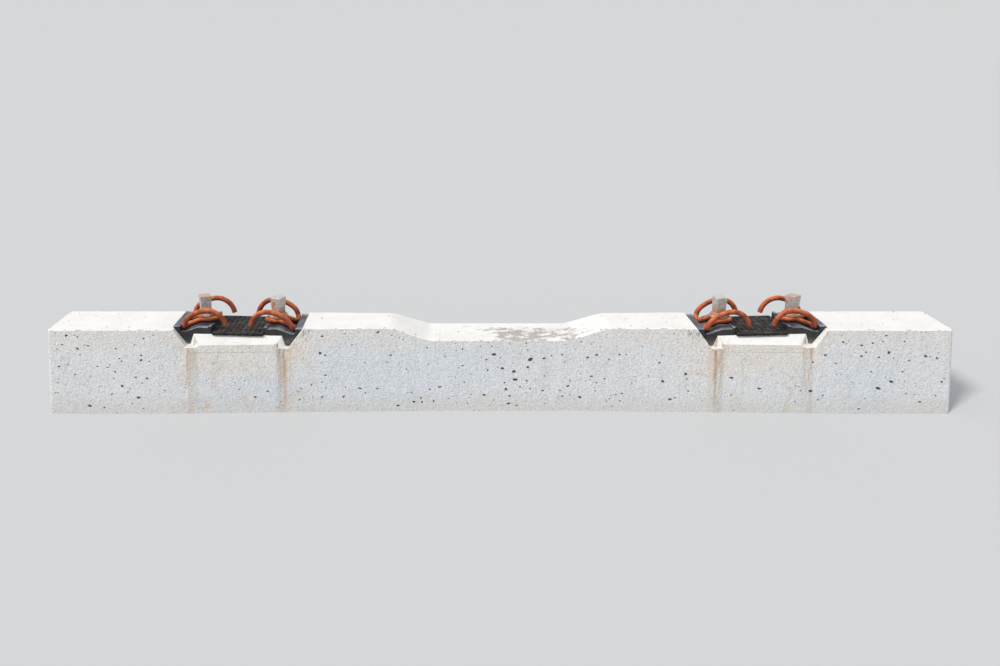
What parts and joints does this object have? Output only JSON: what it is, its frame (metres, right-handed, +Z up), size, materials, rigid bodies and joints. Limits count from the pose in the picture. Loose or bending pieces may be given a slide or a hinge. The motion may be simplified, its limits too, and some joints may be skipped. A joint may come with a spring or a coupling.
{
  "type": "concrete railway sleeper",
  "caption": "Prestressed concrete railway sleeper with battered sides, a lowered waist and leaning grooved rail seats, carrying pads, angled guide plates and screwed spring clamps.",
  "frame": {"origin": "centre of the underside, midway between the two ends", "axes": "+X runs along the sleeper, across the track, to the right in the picture. +Y runs along the track, away from the viewer. +Z points up."},
  "size_m": [2.6, 0.3, 0.3124],
  "materials": {
    "concrete": "weathered cast concrete, matte",
    "dowel_plastic": "matte",
    "pad_rubber": "matte",
    "plate_plastic": "dusty matte",
    "clamp_steel": "rusted",
    "washer_steel": "galvanised with rust",
    "screw_steel": "dull galvanised with rust"
  },
  "bodies": {
    "root": {"sleeper_body": "concrete", "dowel_1": "dowel_plastic", "dowel_2": "dowel_plastic", "dowel_3": "dowel_plastic", "dowel_4": "dowel_plastic", "rail_pad_left": "pad_rubber", "rail_pad_right": "pad_rubber", "guide_plate_1": "plate_plastic", "guide_plate_2": "plate_plastic", "guide_plate_3": "plate_plastic", "guide_plate_4": "plate_plastic", "tension_clamp_1": "clamp_steel", "tension_clamp_2": "clamp_steel", "tension_clamp_3": "clamp_steel", "tension_clamp_4": "clamp_steel", "washer_1": "washer_steel", "washer_2": "washer_steel", "washer_3": "washer_steel", "washer_4": "washer_steel", "sleeper_screw_1": "screw_steel", "sleeper_screw_2": "screw_steel", "sleeper_screw_3": "screw_steel", "sleeper_screw_4": "screw_steel"}
  },
  "joints": []
}
